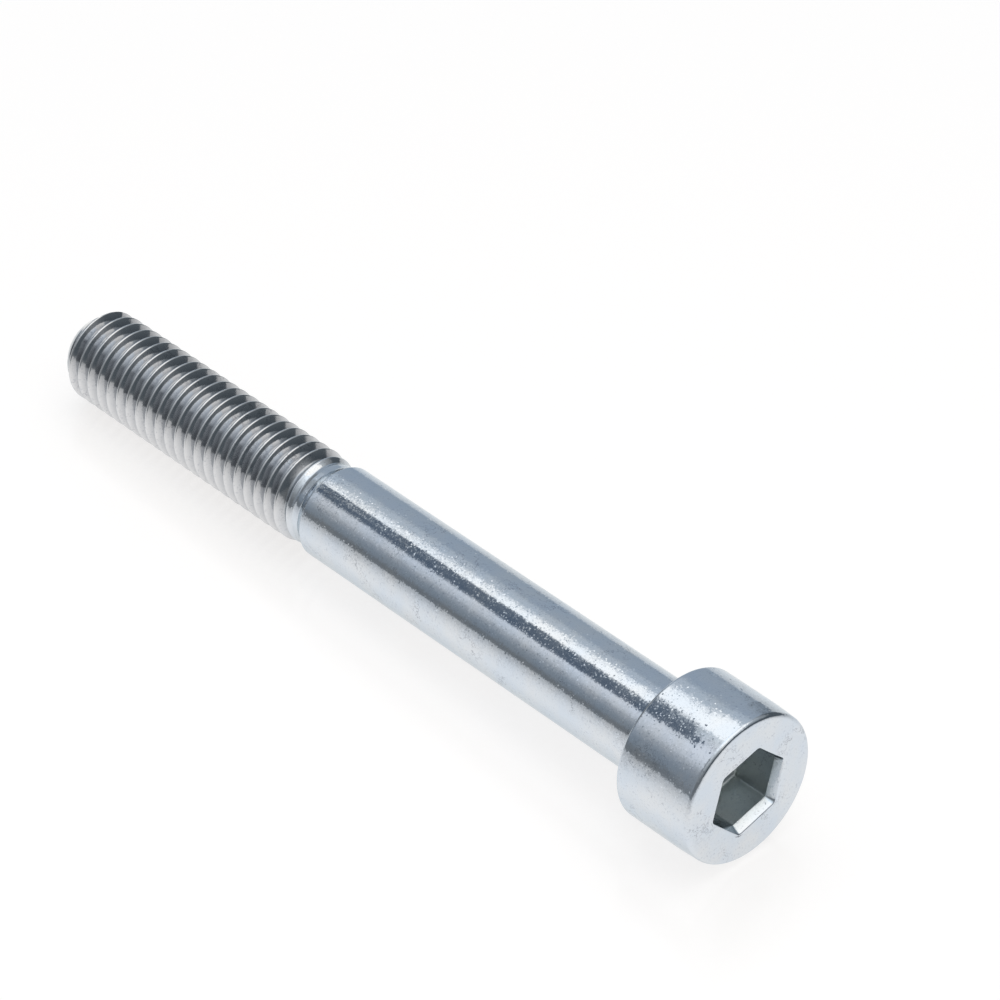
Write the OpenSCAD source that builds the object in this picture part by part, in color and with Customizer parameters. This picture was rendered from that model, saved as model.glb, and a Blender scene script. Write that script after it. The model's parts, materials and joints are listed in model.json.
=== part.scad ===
// Metric socket head cap screw that lies on its side, as it comes to rest on a table.
// The screw is built upright about its own axis, with the bearing face at height 0,
// the head above it and the shank below it, and is then laid down.

/* [Thread] */
// Nominal diameter of the thread, which is also the diameter of the plain shank
thread_d = 8; // [7:0.5:10]
// Distance from one crest of the thread to the next
pitch = 1.25; // [1:0.05:1.5]
// Length of full thread, measured from the end of the screw
thread_len = 28; // [16:1:28]
// How much smaller the crests of the rolled thread are than the plain shank, in diameter
crest_drop = 0.1; // [0.02:0.01:0.3]
// Length over which the thread fades out towards the shank
runout_len = 1.9; // [1:0.1:2]
// Length of the bevel at the end of the thread
tip_len = 1.5; // [0.8:0.1:2]
// Diameter of the flat end
tip_d = 5.4; // [4:0.1:5.6]
// Turn of the thread from having its first full crest begin below the resting screw
thread_turn = 152; // [0:1:315]
// Steps in one turn of the thread
turn_steps = 28; // [24:4:36]

/* [Shank] */
// Length under the head, from the bearing face to the end
length = 70; // [60:1:100]
// Length of the plain shank, from the bearing face to the shoulder
plain_len = 38.8; // [20:0.1:39]
// Length of the cone that steps down from the shoulder to the neck
shoulder_len = 0.8; // [0.3:0.1:1]
// Radius of the fillet between the shank and the bearing face
fillet_r = 0.4; // [0.1:0.05:0.6]

/* [Head] */
// Diameter of the head
head_d = 12.85; // [12.6:0.05:16]
// Height of the head
head_h = 7.5; // [6.5:0.05:10]
// Radius of the rounded edge round the top face
rim_r = 0.4; // [0.2:0.05:1]
// Bevel at the lower edge of the head
lower_bevel = 0.2; // [0.05:0.05:0.4]

/* [Socket] */
// Width of the hexagon socket across its flats
socket_w = 6; // [4:0.1:6.4]
// Depth of the socket's walls, from the top face
socket_depth = 4; // [3:0.1:5]
// Width of the bevel round the mouth of the socket
mouth_bevel = 0.3; // [0.1:0.05:0.5]
// Depth of the bevel round the mouth of the socket
mouth_depth = 0.5; // [0.1:0.05:0.8]
// Angle between the axis and the cone that the socket ends in
cone_angle = 60; // [50:1:75]
// Turn of the socket from having a corner straight down on the resting screw
socket_turn = 44.5; // [0:0.5:60]

/* [Hidden] */
$fn = 96;
// Cuts run this far past the faces that they open
over = 0.01;

shank_r = thread_d / 2;
crest_r = (thread_d - crest_drop) / 2;
head_r = head_d / 2;
tip_r = tip_d / 2;

// Thread outline with flanks at 30 degrees, a crest an eighth of the pitch wide and a
// narrow root. A rolled thread stands as far above its blank as it sinks below it.
depth_share = 0.6134;
flank_share = depth_share * tan(30);
crest_share = 1 / 8;
root_r = crest_r - depth_share * pitch;
neck_r = (crest_r + root_r) / 2;

// Heights along the axis, where the bearing face is 0
end_z = -length;
full_z = end_z + thread_len;
fade_z = full_z + runout_len;
shoulder_z = -plain_len;
neck_z = shoulder_z - shoulder_len;

// Corner radius of the hexagon, and of its mouth
hex_r = socket_w / 2 / cos(30);
mouth_r = (socket_w / 2 + mouth_bevel) / cos(30);

// The screw rests on the lower edge of its head and on the last full crest of its thread
head_touch = lower_bevel;
crest_touch = length - tip_len - pitch * thread_turn / 360;
lean = atan((head_r - crest_r) / (head_touch + crest_touch));
axis_lift = head_r * cos(lean) - head_touch * sin(lean);
high_x = (head_h - rim_r) * cos(lean) + (head_r - rim_r) * sin(lean) + rim_r;
low_x = -length * cos(lean) - tip_r * sin(lean);

// Turn of the seam of the revolved body from straight down on the resting screw
seam_turn = 180;

steel = [0.78, 0.80, 0.83];

// Points of the thread outline over one pitch: where along the pitch, and how high
thread_form = [
    [0, 1], [crest_share, 1], [crest_share + flank_share, 0], [1 - flank_share, 0]
];
form_n = len(thread_form);
// Turns of the outline that lie below the last full crest, in the bevel and past the end
spare_turns = ceil(tip_len / pitch) + 2;
// Outline points closer than this to either end of the thread fall on the end's ring
least_step = 0.02;
// How far the threaded part runs on into the neck
sink = 0.2;

// Height of outline point q in the column of points at angle step i. Column 0 lies on the
// underside of the resting screw.
function point_z(i, q) =
    let (turns = i / turn_steps + thread_turn / 360)
    end_z + tip_len +
    pitch * (floor(q / form_n) - spare_turns + thread_form[q % form_n][0] + turns);

// Share of the full thread that is left at height z, from the shank's side
function fade(z) = min(1, max(0, (fade_z - z) / runout_len));

// Radius of the bevelled end at height z
function bevel_r(z) = tip_r + (crest_r - tip_r) * (z - end_z) / tip_len;

// Radius of outline point q at height z
function point_r(q, z) =
    let (full = root_r + (crest_r - root_r) * thread_form[q % form_n][1])
    min(neck_r + (full - neck_r) * fade(z), bevel_r(z));

// Point at radius r and height z in column i
function at(r, i, z) =
    let (turn = 360 * i / turn_steps)
    [r * cos(turn), r * sin(turn), z];

// Threaded part as one closed mesh: columns of outline points, one column for each angle
// step, with a ring at the flat end and a ring inside the neck
module thread() {
    rows = form_n * (spare_turns + ceil((thread_len + runout_len - tip_len) / pitch) + 1);
    points = concat(
        [for (i = [0 : turn_steps - 1], q = [0 : rows - 1])
            let (z = point_z(i, q)) at(point_r(q, z), i, z)],
        [for (i = [0 : turn_steps - 1]) at(tip_r, i, end_z)],
        [for (i = [0 : turn_steps - 1]) at(neck_r - sink, i, fade_z + sink)]
    );
    end_ring = turn_steps * rows;
    neck_ring = end_ring + turn_steps;

    // Place in the list of points of column i, row q. Rows past an end fall on its ring, and
    // the column after the last is column 0 again, one pitch further on.
    function spot(i, q) =
        i == turn_steps ? spot(0, q + form_n) :
        q >= rows ? neck_ring + i :
        point_z(i, q) < end_z + least_step ? end_ring + i :
        point_z(i, q) > fade_z - least_step ? neck_ring + i :
        i * rows + q;

    function whole(f) = f[0] != f[1] && f[1] != f[2] && f[2] != f[0];

    sides = [for (i = [0 : turn_steps - 1], q = [0 : rows - 1])
        let (a = spot(i, q), b = spot(i + 1, q), c = spot(i + 1, q + 1), d = spot(i, q + 1))
        each [for (f = [[a, d, b], [b, d, c]]) if (whole(f)) f]];
    end_face = [for (i = [0 : turn_steps - 1]) end_ring + i];
    neck_face = [for (i = [turn_steps - 1 : -1 : 0]) neck_ring + i];
    polyhedron(points, concat(sides, [end_face, neck_face]), convexity = 10);
}

// Half section of the head, the plain shank and the neck
module body_section() {
    difference() {
        polygon([
            [0, fade_z], [neck_r, fade_z], [neck_r, neck_z], [shank_r, shoulder_z],
            [shank_r, -fillet_r], [shank_r + fillet_r, -fillet_r], [shank_r + fillet_r, 0],
            [head_r - lower_bevel, 0], [head_r, lower_bevel], [head_r, head_h - rim_r],
            [head_r - rim_r, head_h - rim_r], [head_r - rim_r, head_h], [0, head_h]
        ]);
        translate([shank_r + fillet_r, -fillet_r]) circle(fillet_r);
    }
    intersection() {
        translate([head_r - rim_r, head_h - rim_r]) circle(rim_r);
        translate([head_r - rim_r, head_h - rim_r]) square(rim_r);
    }
}

// Hexagon socket with its bevelled mouth and the cone at its bottom
module socket() {
    cone_h = socket_w / 2 / tan(cone_angle);
    rotate(socket_turn) {
        translate([0, 0, head_h - socket_depth])
            cylinder(r = hex_r, h = socket_depth + over, $fn = 6);
        translate([0, 0, head_h - mouth_depth])
            cylinder(r1 = hex_r, r2 = mouth_r, h = mouth_depth + over, $fn = 6);
    }
    translate([0, 0, head_h - socket_depth - cone_h])
        cylinder(r1 = 0, r2 = socket_w / 2, h = cone_h + over);
}

// The whole screw about its own axis
module upright_screw() {
    difference() {
        rotate(seam_turn) rotate_extrude() body_section();
        socket();
    }
    thread();
}

// The screw laid on its side, with the middle of its footprint at the origin
module screw() {
    color(steel)
        translate([-(high_x + low_x) / 2, 0, axis_lift])
        rotate([0, 90 - lean, 0])
        upright_screw();
}

screw();
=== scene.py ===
import json
import math

import bmesh
import bpy
from mathutils import Matrix, Vector


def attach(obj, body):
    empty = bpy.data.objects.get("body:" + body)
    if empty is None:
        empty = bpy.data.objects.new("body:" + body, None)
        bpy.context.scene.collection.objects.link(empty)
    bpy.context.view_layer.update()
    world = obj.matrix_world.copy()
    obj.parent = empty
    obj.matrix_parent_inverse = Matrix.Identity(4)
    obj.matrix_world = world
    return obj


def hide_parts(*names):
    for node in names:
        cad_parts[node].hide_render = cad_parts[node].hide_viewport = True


# Studio view of a zinc-plated socket head cap screw that lies on its side on a pale floor.
# Sizes are in millimetres and angles in degrees, and are scaled where the scene takes them.
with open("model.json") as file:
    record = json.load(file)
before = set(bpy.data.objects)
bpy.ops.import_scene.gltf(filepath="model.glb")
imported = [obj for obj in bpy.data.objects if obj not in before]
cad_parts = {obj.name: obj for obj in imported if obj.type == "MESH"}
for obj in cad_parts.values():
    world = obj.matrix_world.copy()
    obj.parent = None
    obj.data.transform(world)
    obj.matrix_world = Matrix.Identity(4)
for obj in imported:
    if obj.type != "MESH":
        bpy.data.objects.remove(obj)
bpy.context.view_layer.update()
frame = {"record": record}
MM = 0.001

# Thread. The round at its root lies between the flanks, which would meet at the sharp depth.
PITCH = 1.25
LENGTH = 70.0
THREAD_LEN = 28.0
CREST_R = 3.95
CREST_FLAT = PITCH / 8
ROOT_DEPTH = 0.6134 * PITCH
FLANK_ANGLE = 27.5
SHARP_DEPTH = (PITCH - CREST_FLAT) / 2 / math.tan(math.radians(FLANK_ANGLE))
ROOT_ROUND = (SHARP_DEPTH - ROOT_DEPTH) / (1 / math.sin(math.radians(FLANK_ANGLE)) - 1)
CREST_ROUND = 0.1
RUNOUT_LEN = 1.9
TIP_LEN = 1.5
TIP_R = 2.7
TIP_ROUND = 0.12
THREAD_TURN = 152

# Shank and head. The head's side is a little crowned near its top face.
SHANK_R = 4.0
PLAIN_LEN = 38.8
SHOULDER_LEN = 0.8
SHOULDER_ROUND = 0.05
NECK_ROUND = 0.4
FILLET_R = 0.4
HEAD_R = 6.425
HEAD_H = 7.5
LOWER_ROUND = 0.25
CROWN_LEN = 1.9
CROWN_DROP = 0.12
CROWN_CURVE = 28
RIM_ROUND = 0.38

# Socket. Its corners are rounder at the mouth, whose bevel lies a little off centre. The
# hexagon's slant is half the angle that one of its sides spans, in radians.
SOCKET_HALF = 3.0
SOCKET_DEPTH = 4.0
SOCKET_TURN = 44.5
CORNER_ROUND = 0.12
CORNER_GROWTH = 1.2
MOUTH_BEVEL = 0.3
MOUTH_DEPTH = 0.8
MOUTH_ROUND = 0.1
MOUTH_SHIFT = 0.1
MOUTH_MARGIN = 1.5 * MOUTH_BEVEL
WALL_ROUND = 0.3
FLOOR_ROUND = 0.25
CONE_ANGLE = 60
CONE_R = 2.4
CONE_RINGS = (0.96, 0.5, 0.08)
HEX_STEP = 60
HEX_SLANT = math.radians(HEX_STEP / 2)

# How sheltered a place of the surface is, from 0 in the open to 1 inside the socket and in
# the grooves of the thread, where it grows between two shares of their depth. It sets where
# shade is painted into the plating's colour.
# Share of the painted shade that the mouth bevel of the socket takes
MOUTH_SHELTER = 0.8
GROOVE_START = 0.44
GROOVE_END = 0.95

# Plating: its colours, the shades of its specks and scuffs, the painted shade in the socket and in
# the grooves, and its roughness
BLUISH_ZINC = (0.65, 0.71, 0.78, 1)
PALE_ZINC = (0.71, 0.74, 0.77, 1)
ROLLED_ZINC = (0.725, 0.73, 0.74, 1)
EDGE_TINT = (0.84, 0.87, 0.88, 1)
SPECK_SHADE = (0.80, 0.81, 0.84, 1)
# Painted shade in the socket: its colour is darkened where the recess lies in shade
SOCKET_PAINTED_SHADE = (0.92, 0.92, 0.87, 1)
# Painted shade in the grooves of the thread, darkest towards their roots
GROOVE_PAINTED_SHADE = (0.52, 0.54, 0.57, 1)
SCUFF_SHADE = (0.62, 0.62, 0.64, 1)
OPEN_ROUGHNESS = (0.08, 0.12)
SPECK_ROUGHNESS = 0.08
SOCKET_ROUGHNESS = 0.22

# Patterns of the plating: the width of their features, and the noise values between which
# each one grows from nothing to full
TINT_MM = 3.0
TINT_RANGE = (0.35, 0.65)
SPECK_MM = 0.2
SPECK_RANGE = (0.56, 0.70)
PATCH_MM = 1.6
PATCH_RANGE = (0.40, 0.65)
PATCH_LEAST = 0.15
SCUFF_MM = 1.8
SCUFF_EDGES = (0.002, 0.014)
SCUFFED_MM = 3.5
SCUFFED_RANGE = (0.52, 0.62)
BUFFED_MM = 1.5
BUFFED_RANGE = (0.3, 0.7)
CRYSTAL_MM = 0.11
CRYSTAL_TILT = 0.42
ROLLED_TILT = 0.12
WAVE_MM = 1.6
WAVE_HEIGHT = 0.012

# Mesh
COLUMN_STEP = 2.4
ARC_STEP = 12
SUPPORT = 0.08
LEAST_STEP = 0.012
SHARP_ANGLE = 35

# Heights along the axis, where the bearing face of the head is 0
END_Z = -LENGTH
FADE_Z = END_Z + THREAD_LEN + RUNOUT_LEN
BEVEL_Z = END_Z + TIP_ROUND
NECK_R = CREST_R - ROOT_DEPTH / 2


def held(value):
    """Value held between 0 and 1."""
    return min(1.0, max(0.0, value))


def rounded_corner(before, corner, after, radius):
    """Points that round one corner of an outline."""
    start = (Vector(before) - Vector(corner)).normalized()
    end = (Vector(after) - Vector(corner)).normalized()
    half = start.angle(end) / 2
    middle = Vector(corner) + (start + end).normalized() * radius / math.sin(half)
    first = Vector(corner) + start * radius / math.tan(half) - middle
    turn = math.pi - 2 * half
    if first.x * end.y - first.y * end.x < 0:
        turn = -turn
    count = max(2, math.ceil(abs(math.degrees(turn)) / ARC_STEP))
    turns = [turn * k / count for k in range(count + 1)]
    return [tuple(middle + Matrix.Rotation(a, 2) @ first) for a in turns]


def with_supports(points):
    """Outline with two more points on each long straight stretch, which keep its shading
    straight."""
    out = [points[0]]
    for a, b in zip(points, points[1:]):
        way = Vector(b) - Vector(a)
        if way.length > 5 * SUPPORT:
            near = way.normalized() * SUPPORT
            out += [tuple(Vector(a) + near), tuple(Vector(b) - near)]
        out.append(b)
    return out


def outline(corners):
    """Outline through (radius, height, corner radius) points, with its corners rounded."""
    points = [corners[0][:2]]
    for before, corner, after in zip(corners, corners[1:], corners[2:]):
        if corner[2]:
            points += rounded_corner(before[:2], corner[:2], after[:2], corner[2])
        else:
            points.append(corner[:2])
    return with_supports(points + [corners[-1][:2]])


def thread_form():
    """Rolled thread over one pitch, as (distance along the axis, depth below the crest)."""
    steep = math.radians(90 - FLANK_ANGLE)
    lap = CREST_ROUND * math.tan(steep / 2)
    root_s = (PITCH + CREST_FLAT) / 2
    root_h = ROOT_DEPTH - ROOT_ROUND

    def crest_point(middle, share):
        a = steep * share
        return (middle + CREST_ROUND * math.sin(a), CREST_ROUND * (1 - math.cos(a)))

    def root_point(share):
        a = steep * share
        return (root_s + ROOT_ROUND * math.sin(a), root_h + ROOT_ROUND * math.cos(a))

    points = [(lap, 0.0)]
    points += [crest_point(CREST_FLAT - lap, share) for share in (0, 1 / 3, 2 / 3, 1)]
    points += [root_point(share) for share in (-1, -0.6, -0.2, 0.2, 0.6, 1)]
    points += [crest_point(PITCH + lap, share) for share in (-1, -2 / 3, -1 / 3)]
    return points


# The rows of the thread start some turns below its first full crest and end above its
# run-out. Rows past an end fall on the ring there.
FORM = thread_form()
SPARE_TURNS = math.ceil(TIP_LEN / PITCH) + 2
FULL_TURNS = math.ceil((THREAD_LEN + RUNOUT_LEN - TIP_LEN) / PITCH) + 2
THREAD_ROWS = len(FORM) * (SPARE_TURNS + FULL_TURNS)


def fade(z):
    """Share of the full thread that is left at a height."""
    return held((FADE_Z - z) / RUNOUT_LEN)


def bevel_r(z):
    """Radius of the bevelled end at a height."""
    return TIP_R + (CREST_R - TIP_R) * (z - END_Z) / TIP_LEN


def thread_point(row, turn):
    """Radius and height of a row of the thread in the direction of a turn about the axis,
    and how sheltered it is."""
    along, depth = FORM[row % len(FORM)]
    first = END_Z + TIP_LEN - SPARE_TURNS * PITCH
    z = first + PITCH * (row // len(FORM) + (turn + THREAD_TURN) / 360) + along
    r = NECK_R + (CREST_R - depth - NECK_R) * fade(z)
    if r >= bevel_r(z):
        return bevel_r(z), z, 0.0
    # Share of painted shade in the groove, which grows with its depth towards the root
    sunk = (depth / ROOT_DEPTH - GROOVE_START) / (GROOVE_END - GROOVE_START)
    return r, z, fade(z) * held(sunk)


def hex_reach(turn, half_width):
    """Distance from the axis to a hexagon, whose corners are rounder the wider it is."""
    off = math.radians(abs((turn - SOCKET_TURN + HEX_STEP / 2) % HEX_STEP - HEX_STEP / 2))
    corner = CORNER_ROUND + CORNER_GROWTH * (half_width - SOCKET_HALF)
    centre = (half_width - corner) / math.cos(HEX_SLANT)
    touch = math.atan2(corner * math.sin(HEX_SLANT), centre + corner * math.cos(HEX_SLANT))
    if off < touch:
        return centre * math.cos(off) + math.sqrt(corner**2 - (centre * math.sin(off)) ** 2)
    return half_width / math.cos(HEX_SLANT - off)


def mouth_shift(turn, half_width):
    """How much further out a hexagon lies in one direction, as the mouth is off centre."""
    wider = max(0.0, (half_width - SOCKET_HALF) / MOUTH_BEVEL)
    return MOUTH_SHIFT * wider * math.cos(math.radians(turn - SOCKET_TURN + HEX_STEP))


def column_turns():
    """Directions of the mesh columns, which lie closer together at the socket's corners."""
    centre = (SOCKET_HALF - CORNER_ROUND) / math.cos(HEX_SLANT)
    reach = centre + CORNER_ROUND * math.cos(HEX_SLANT)
    touch = math.degrees(math.atan2(CORNER_ROUND * math.sin(HEX_SLANT), reach))
    side = HEX_STEP - 2 * touch
    count = round(side / COLUMN_STEP)
    sector = [0, touch / 2] + [touch + side * k / count for k in range(count + 1)]
    sector.append(HEX_STEP - touch / 2)
    turns = [SOCKET_TURN + HEX_STEP * (k - 1) + off for k in range(6) for off in sector]
    return sorted(turn % 360 for turn in turns)


def head_outline():
    """Outline of the plain neck, shoulder, shank and head, up to the mouth of the socket."""
    return outline([
        (NECK_R, FADE_Z, 0),
        (NECK_R, -PLAIN_LEN - SHOULDER_LEN, NECK_ROUND),
        (SHANK_R, -PLAIN_LEN, SHOULDER_ROUND),
        (SHANK_R, 0, FILLET_R),
        (HEAD_R, 0, LOWER_ROUND),
        (HEAD_R, HEAD_H - CROWN_LEN, CROWN_CURVE),
        (HEAD_R - CROWN_DROP, HEAD_H, RIM_ROUND),
        (SOCKET_HALF / math.cos(HEX_SLANT) + MOUTH_MARGIN, HEAD_H, 0),
    ])


def socket_rows():
    """Half widths and heights of the hexagon socket, from its mouth to the cone."""
    foot = HEAD_H - SOCKET_DEPTH
    slope = math.tan(math.radians(90 - CONE_ANGLE))
    return outline([
        (SOCKET_HALF + MOUTH_MARGIN, HEAD_H, 0),
        (SOCKET_HALF + MOUTH_BEVEL, HEAD_H, MOUTH_ROUND),
        (SOCKET_HALF, HEAD_H - MOUTH_DEPTH, WALL_ROUND),
        (SOCKET_HALF, foot, FLOOR_ROUND),
        (CONE_R, foot - slope * (SOCKET_HALF - CONE_R), 0),
    ])


def screw_mesh():
    """The whole screw about its own axis as one closed mesh: rings of points from the middle
    of the end face to its edge, columns of the thread's rows, and rings from the neck over
    the head and down to the bottom of the socket. Also says how sheltered each point is,
    which sets where shade is painted into its colour."""
    turns = column_turns()
    count = len(turns)
    points = []
    shelters = []
    rings = []

    def ring(place, shelter=0.0):
        start = len(points)
        for turn in turns:
            r, z = place(turn)
            a = math.radians(turn)
            points.append((r * math.cos(a), r * math.sin(a), z))
            shelters.append(shelter)
        rings.append(start)
        return start

    tip_end = with_supports([(TIP_R / 2, END_Z), (TIP_R - TIP_ROUND / 2, END_Z)])
    for r, z in tip_end:
        ring(lambda turn, r=r, z=z: (r, z))
    low_ring = ring(lambda turn: (bevel_r(BEVEL_Z), BEVEL_Z))
    low_rings = list(rings)

    rings.clear()
    high_ring = ring(lambda turn: (NECK_R, FADE_Z))
    for r, z in head_outline()[1:]:
        ring(lambda turn, r=r, z=z: (r, z))
    for half, z in socket_rows():
        # The socket's rings carry the mask of painted shade, full below the mouth and a share of
        # it on the mouth bevel
        inside = held((SOCKET_HALF + MOUTH_BEVEL - half) / MOUTH_BEVEL)
        shelter = 1.0 if z < HEAD_H - MOUTH_DEPTH else MOUTH_SHELTER * inside
        ring(lambda turn, half=half, z=z: (hex_reach(turn, half) + mouth_shift(turn, half), z),
             shelter)
    cone_z = socket_rows()[-1][1]
    cone_h = CONE_R / math.tan(math.radians(CONE_ANGLE))
    for share in CONE_RINGS:
        ring(lambda turn, share=share: (CONE_R * share, cone_z - cone_h * (1 - share)), 1.0)
    high_rings = list(rings)

    thread_start = len(points)
    heights = []
    for turn in turns:
        a = math.radians(turn)
        for row in range(THREAD_ROWS):
            r, z, shelter = thread_point(row, turn)
            heights.append(z)
            points.append((r * math.cos(a), r * math.sin(a), z))
            shelters.append(shelter)

    def spot(column, row):
        if column == count:
            return spot(0, row + len(FORM))
        if row >= THREAD_ROWS:
            return high_ring + column
        z = heights[column * THREAD_ROWS + row]
        if z < BEVEL_Z + LEAST_STEP:
            return low_ring + column
        if z > FADE_Z - LEAST_STEP:
            return high_ring + column
        return thread_start + column * THREAD_ROWS + row

    faces = []
    for column in range(count):
        for row in range(-1, THREAD_ROWS):
            lower = low_ring + column if row < 0 else spot(column, row)
            beside = low_ring + (column + 1) % count if row < 0 else spot(column + 1, row)
            quad = (lower, beside, spot(column + 1, row + 1), spot(column, row + 1))
            corners = list(dict.fromkeys(quad))
            if len(corners) > 2:
                faces.append(corners)
    for group in (low_rings, high_rings):
        for below, above in zip(group, group[1:]):
            for k in range(count):
                after = (k + 1) % count
                faces.append((below + k, below + after, above + after, above + k))
    for start, z, shelter in ((low_rings[0], END_Z, 0.0), (high_rings[-1], cone_z - cone_h, 1.0)):
        pole = len(points)
        points.append((0, 0, z))
        shelters.append(shelter)
        faces += [(start + k, start + (k + 1) % count, pole) for k in range(count)]
    return points, faces, shelters


def laid_down():
    """Matrix that lays the upright screw where the frame has it, with its +X side down."""
    socket = next(m for m in frame["record"]["mounts"] if m["name"] == "hex_socket")
    along = Vector(socket["axis"]).normalized()
    across = Vector((0, 1, 0))
    down = across.cross(along)
    bearing = Vector(socket["pos_m"]) - along * HEAD_H * MM
    turned = Matrix((down, across, along)).transposed().to_4x4()
    return Matrix.Translation(bearing) @ turned @ Matrix.Scale(MM, 4)


def add_node(tree, kind, inputs=None, **settings):
    """New shader node with its settings, and its inputs set to values or linked to sockets."""
    new = tree.nodes.new(kind)
    for name, value in settings.items():
        setattr(new, name, value)
    for name, value in (inputs or {}).items():
        if isinstance(value, bpy.types.NodeSocket):
            tree.links.new(value, new.inputs[name])
        else:
            new.inputs[name].default_value = value
    return new


def noise(tree, where, size_mm, detail=2.0, roughness=0.5):
    """Noise whose features are about that many millimetres wide."""
    return add_node(tree, "ShaderNodeTexNoise", {
        "Vector": where, "Scale": 1 / (size_mm * MM), "Detail": detail, "Roughness": roughness,
    }).outputs["Fac"]


def calc(tree, operation, *values, clamp=False):
    """Result of a Math node."""
    new = tree.nodes.new("ShaderNodeMath")
    new.operation = operation
    new.use_clamp = clamp
    for socket, value in zip(new.inputs, values):
        if isinstance(value, bpy.types.NodeSocket):
            tree.links.new(value, socket)
        else:
            socket.default_value = value
    return new.outputs[0]


def vector_calc(tree, operation, first, second):
    """Result of a Vector Math node on two vectors, or on a vector and a scale."""
    other = "Scale" if operation == "SCALE" else 1
    new = add_node(tree, "ShaderNodeVectorMath", {0: first, other: second}, operation=operation)
    return new.outputs["Value" if operation == "DOT_PRODUCT" else "Vector"]


def fall_off(tree, value, near, far):
    """1 where the value is below near, 0 where it is above far, and smooth between them."""
    return add_node(tree, "ShaderNodeMapRange", {
        "Value": value, "From Min": far, "From Max": near, "To Min": 0.0, "To Max": 1.0,
    }, interpolation_type="SMOOTHSTEP").outputs["Result"]


def mapped(tree, value, low, high, to_low, to_high):
    """Value carried over from one range to another, and held inside it."""
    return add_node(tree, "ShaderNodeMapRange", {
        "Value": value, "From Min": low, "From Max": high, "To Min": to_low, "To Max": to_high,
    }).outputs["Result"]


def mixed(tree, share, first, second, blend="MIX"):
    """First colour with the second one laid over it by a share."""
    return add_node(tree, "ShaderNodeMixRGB", {
        "Fac": share, "Color1": first, "Color2": second,
    }, blend_type=blend).outputs["Color"]


def zinc_material():
    """Bright zinc plating on rolled steel: a fine glitter of crystals, slight shifts of tint,
    small dull specks and scuffs, rougher plating and painted shade in the socket, and painted
    shade in the grooves of the thread."""
    material = bpy.data.materials.new("zinc_plating")
    material.use_nodes = True
    tree = material.node_tree
    tree.nodes.clear()
    where = add_node(tree, "ShaderNodeTexCoord").outputs["Object"]
    shelter = add_node(tree, "ShaderNodeAttribute", attribute_name="shelter").outputs["Fac"]
    rolled = add_node(tree, "ShaderNodeAttribute", attribute_name="rolled").outputs["Fac"]

    tint = mapped(tree, noise(tree, where, TINT_MM, detail=3.0), *TINT_RANGE, 0.0, 1.0)
    colour = mixed(tree, tint, BLUISH_ZINC, PALE_ZINC)
    colour = mixed(tree, rolled, colour, ROLLED_ZINC)
    specks = mapped(tree, noise(tree, where, SPECK_MM, roughness=0.6), *SPECK_RANGE, 0.0, 1.0)
    patched = noise(tree, where, PATCH_MM, detail=3.0)
    patches = mapped(tree, patched, *PATCH_RANGE, PATCH_LEAST, 1.0)
    dull = calc(tree, "MULTIPLY", specks, patches)
    colour = mixed(tree, dull, colour, SPECK_SHADE, "MULTIPLY")
    waving = noise(tree, where, SCUFF_MM, detail=5.0, roughness=0.7)
    off_middle = calc(tree, "ABSOLUTE", calc(tree, "SUBTRACT", waving, 0.5))
    lines = fall_off(tree, off_middle, *SCUFF_EDGES)
    places = mapped(tree, noise(tree, where, SCUFFED_MM), *SCUFFED_RANGE, 0.0, 1.0)
    scuffs = calc(tree, "MULTIPLY", lines, places)
    colour = mixed(tree, scuffs, colour, SCUFF_SHADE, "MULTIPLY")
    # Painted shade in the socket and on its mouth bevel, which darkens the colour of the recess
    inside = calc(tree, "MULTIPLY", shelter, calc(tree, "SUBTRACT", 1.0, rolled))
    colour = mixed(tree, inside, colour, SOCKET_PAINTED_SHADE, "MULTIPLY")
    # Painted shade in the grooves of the thread, darkest towards their roots
    groove = calc(tree, "MULTIPLY", shelter, rolled)
    colour = mixed(tree, groove, colour, GROOVE_PAINTED_SHADE, "MULTIPLY")

    buffed = noise(tree, where, BUFFED_MM, detail=4.0)
    rough = mapped(tree, buffed, *BUFFED_RANGE, *OPEN_ROUGHNESS)
    rough = calc(tree, "ADD", rough, calc(tree, "MULTIPLY", dull, SPECK_ROUGHNESS))
    rough = calc(tree, "ADD", rough, calc(tree, "MULTIPLY", inside, SOCKET_ROUGHNESS))

    wave = add_node(tree, "ShaderNodeBump", {
        "Height": noise(tree, where, WAVE_MM, detail=3.0),
        "Distance": WAVE_HEIGHT * MM, "Strength": 1.0,
    }).outputs["Normal"]
    crystal = add_node(tree, "ShaderNodeTexVoronoi", {
        "Vector": where, "Scale": 1 / (CRYSTAL_MM * MM),
    }).outputs["Color"]
    tilt = vector_calc(tree, "SUBTRACT", crystal, (0.5, 0.5, 0.5))
    size = vector_calc(tree, "DOT_PRODUCT", tilt, tilt)
    strength = mapped(tree, rolled, 0.0, 1.0, CRYSTAL_TILT, ROLLED_TILT)
    much = calc(tree, "MULTIPLY", calc(tree, "MULTIPLY", size, size), strength)
    normal = vector_calc(tree, "ADD", wave, vector_calc(tree, "SCALE", tilt, much))

    shader = add_node(tree, "ShaderNodeBsdfPrincipled", {
        "Base Color": colour, "Metallic": 1.0, "Roughness": rough, "Specular Tint": EDGE_TINT,
        "Normal": vector_calc(tree, "NORMALIZE", normal, (0, 0, 0)),
    })
    output = add_node(tree, "ShaderNodeOutputMaterial")
    tree.links.new(shader.outputs["BSDF"], output.inputs["Surface"])
    return material


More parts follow.
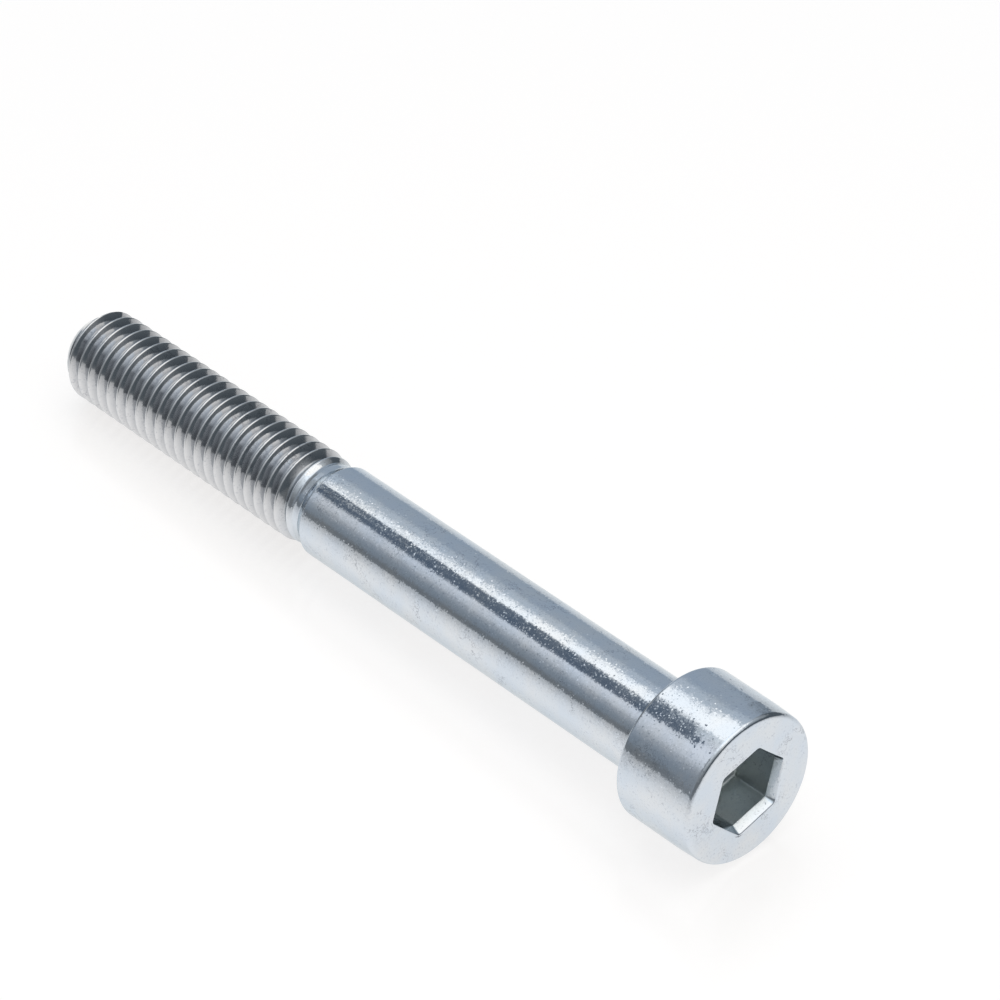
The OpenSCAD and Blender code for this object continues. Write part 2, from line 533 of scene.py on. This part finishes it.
def add_screw():
    """The detailed screw, which stands for the plain solid."""
    points, faces, shelters = screw_mesh()
    mesh = bpy.data.meshes.new("plated_screw")
    mesh.from_pydata(points, [], faces)
    rolled = [fade(z) for x, y, z in points]
    for name, values in (("shelter", shelters), ("rolled", rolled)):
        mesh.attributes.new(name, "FLOAT", "POINT").data.foreach_set("value", values)
    mesh.transform(laid_down())
    mesh.update()
    screw = bpy.data.objects.new("plated_screw", mesh)
    bpy.context.scene.collection.objects.link(screw)
    tidy = bmesh.new()
    tidy.from_mesh(mesh)
    bmesh.ops.delete(tidy, geom=[v for v in tidy.verts if not v.link_faces], context="VERTS")
    bmesh.ops.recalc_face_normals(tidy, faces=tidy.faces)
    tidy.to_mesh(mesh)
    tidy.free()
    mesh.shade_smooth()
    mesh.set_sharp_from_angle(angle=math.radians(SHARP_ANGLE))
    mesh.materials.append(zinc_material())
    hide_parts("screw")
    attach(screw, "root")


# Camera, which looks from its azimuth, elevation and distance at its aim
CAMERA_AZIMUTH = -42.246
CAMERA_ELEVATION = 39.15
CAMERA_DISTANCE = 384.32
CAMERA_AIM = (-4.711, 14.699, 0.0)
SENSOR = 36.0
FOCAL_SHARE = 4.738
CLIP_START = 10.0


def direction(azimuth, elevation):
    """Unit vector towards an azimuth and elevation, where azimuth 0 is +X and 90 is +Y."""
    a, e = math.radians(azimuth), math.radians(elevation)
    return Vector((math.cos(a) * math.cos(e), math.sin(a) * math.cos(e), math.sin(e)))


def add_camera():
    """Camera with the photograph's viewing angle and framing."""
    data = bpy.data.cameras.new("camera")
    data.sensor_width = SENSOR
    data.lens = FOCAL_SHARE * SENSOR
    data.clip_start = CLIP_START * MM
    camera = bpy.data.objects.new("camera", data)
    bpy.context.scene.collection.objects.link(camera)
    back = direction(CAMERA_AZIMUTH, CAMERA_ELEVATION)
    camera.location = (Vector(CAMERA_AIM) + back * CAMERA_DISTANCE) * MM
    camera.rotation_euler = back.to_track_quat("Z", "Y").to_euler()
    bpy.context.scene.camera = camera


# Floor with a clear coat. Its glow is seen by the camera and in reflections.
FLOOR_HALF = 3000.0
FLOOR_COLOUR = (0.38, 0.38, 0.38, 1)
FLOOR_ROUGHNESS = 0.9
COAT_IOR = 1.5
COAT_ROUGHNESS = 0.18
FLOOR_GLOW = 0.77
GLOW_COLOUR = (1.0, 0.98, 0.965, 1)


def add_floor():
    """Large pale floor, whose glow makes it white and keeps the screw's shadow faint."""
    half = FLOOR_HALF * MM
    corners = [(-half, -half, 0), (half, -half, 0), (half, half, 0), (-half, half, 0)]
    mesh = bpy.data.meshes.new("floor")
    mesh.from_pydata(corners, [], [(0, 1, 2, 3)])
    floor = bpy.data.objects.new("floor", mesh)
    bpy.context.scene.collection.objects.link(floor)
    material = bpy.data.materials.new("white_floor")
    material.use_nodes = True
    tree = material.node_tree
    shader = tree.nodes["Principled BSDF"]
    shader.inputs["Base Color"].default_value = FLOOR_COLOUR
    shader.inputs["Roughness"].default_value = FLOOR_ROUGHNESS
    shader.inputs["Specular IOR Level"].default_value = 0.0
    shader.inputs["Coat Weight"].default_value = 1.0
    shader.inputs["Coat IOR"].default_value = COAT_IOR
    shader.inputs["Coat Roughness"].default_value = COAT_ROUGHNESS
    ray = add_node(tree, "ShaderNodeLightPath").outputs
    seen = calc(tree, "ADD", calc(tree, "ADD", ray["Is Camera Ray"], ray["Is Glossy Ray"]),
                ray["Is Transmission Ray"], clamp=True)
    shader.inputs["Emission Color"].default_value = GLOW_COLOUR
    tree.links.new(calc(tree, "MULTIPLY", seen, FLOOR_GLOW), shader.inputs["Emission Strength"])
    mesh.materials.append(material)


# Room round the screw as (elevation, brightness), and the panels in it. A panel is given by
# the azimuth of its middle, its half width, the elevation of its middle, its half height,
# the width of its soft edge, its tint and its brightness. A later one covers the earlier ones.
# The least level keeps the azimuth's division from failing straight above and below.
ROOM = [
    (-20, 0.30), (8, 0.19), (20, 0.19), (32, 0.30), (44, 0.47),
    (56, 0.66), (66, 0.95), (78, 1.3), (90, 1.36),
]
ROOM_TINT = (0.94, 1.0, 1.05)
BRIGHTEST = 1.43
LEAST_LEVEL = 1e-6
PANELS = [
    (14, 20, 45, 13, 14, (1.0, 1.0, 1.0), 0.78),
    (48, 72, -8, 32, 9, (0.84, 1.0, 1.14), 0.11),
    (48, 72, 72, 18, 8, (1.03, 1.0, 0.96), 1.36),
    (141, 21, 4, 34, 9, (0.87, 1.0, 1.16), 0.44),
    (150, 30, 44, 7, 8, (0.91, 1.0, 1.10), 0.60),
    (160, 28, 59, 10, 7, (1.0, 1.0, 0.99), 1.30),
    (-133, 20, 18, 8, 10, (0.88, 1.0, 1.13), 0.28),
    (-133, 20, 52, 20, 34, (0.96, 1.0, 1.07), 0.88),
    (-154, 9, 47.7, 5.2, 3, (0.77, 1.0, 1.33), 0.14),
    (-169, 9, 50.9, 3.4, 3, (0.77, 1.0, 1.33), 0.14),
    (-107, 12, 30, 26, 12, (0.93, 1.0, 1.08), 0.30),
]


def add_world():
    """Room and light panels round the screw, which the metal reflects."""
    world = bpy.data.worlds.new("studio")
    bpy.context.scene.world = world
    world.use_nodes = True
    tree = world.node_tree
    tree.nodes.clear()
    way = add_node(tree, "ShaderNodeTexCoord").outputs["Generated"]
    parts = add_node(tree, "ShaderNodeSeparateXYZ", {"Vector": way}).outputs
    elevation = calc(tree, "DEGREES", calc(tree, "ARCSINE", parts["Z"]))
    level_part = calc(tree, "SUBTRACT", 1.0, calc(tree, "MULTIPLY", parts["Z"], parts["Z"]))
    level = calc(tree, "SQRT", calc(tree, "MAXIMUM", LEAST_LEVEL, level_part))

    lowest, highest = ROOM[0][0], ROOM[-1][0]
    span = highest - lowest
    above = calc(tree, "SUBTRACT", elevation, lowest)
    room = add_node(tree, "ShaderNodeValToRGB", {
        "Fac": calc(tree, "DIVIDE", above, span, clamp=True),
    })
    ramp = room.color_ramp
    while len(ramp.elements) < len(ROOM):
        ramp.elements.new(0.5)
    for element, (height, bright) in zip(ramp.elements, ROOM):
        element.position = (height - lowest) / span
        element.color = (*[tint * bright / BRIGHTEST for tint in ROOM_TINT], 1)
    colour = add_node(tree, "ShaderNodeVectorMath", {
        0: room.outputs["Color"], 1: (BRIGHTEST,) * 3,
    }, operation="MULTIPLY").outputs["Vector"]

    for azimuth, half_wide, height, half_high, soft, tint, bright in PANELS:
        a = math.radians(azimuth)
        toward = calc(tree, "ADD", calc(tree, "MULTIPLY", parts["X"], math.cos(a)),
                      calc(tree, "MULTIPLY", parts["Y"], math.sin(a)))
        aside = calc(tree, "DEGREES", calc(tree, "ARCCOSINE", calc(tree, "DIVIDE", toward, level)))
        off = calc(tree, "ABSOLUTE", calc(tree, "SUBTRACT", elevation, height))
        mask = calc(tree, "MULTIPLY",
                    fall_off(tree, aside, half_wide - soft / 2, half_wide + soft / 2),
                    fall_off(tree, off, half_high - soft / 2, half_high + soft / 2))
        colour = mixed(tree, mask, colour, (*[c * bright for c in tint], 1))
    glow = add_node(tree, "ShaderNodeBackground", {"Color": colour, "Strength": 1.0})
    output = add_node(tree, "ShaderNodeOutputWorld")
    tree.links.new(glow.outputs["Background"], output.inputs["Surface"])


def add_lamp(name, azimuth, elevation, spread, strength):
    """Distant soft lamp."""
    data = bpy.data.lights.new(name, "SUN")
    data.energy = strength
    data.angle = math.radians(spread)
    lamp = bpy.data.objects.new(name, data)
    lamp.visible_glossy = False
    lamp.rotation_euler = direction(azimuth, elevation).to_track_quat("Z", "Y").to_euler()
    bpy.context.scene.collection.objects.link(lamp)


add_camera()
add_world()
add_lamp("overhead", azimuth=130, elevation=70, spread=60, strength=0.2)
add_floor()
add_screw()

bpy.context.scene.view_settings.view_transform = "Standard"
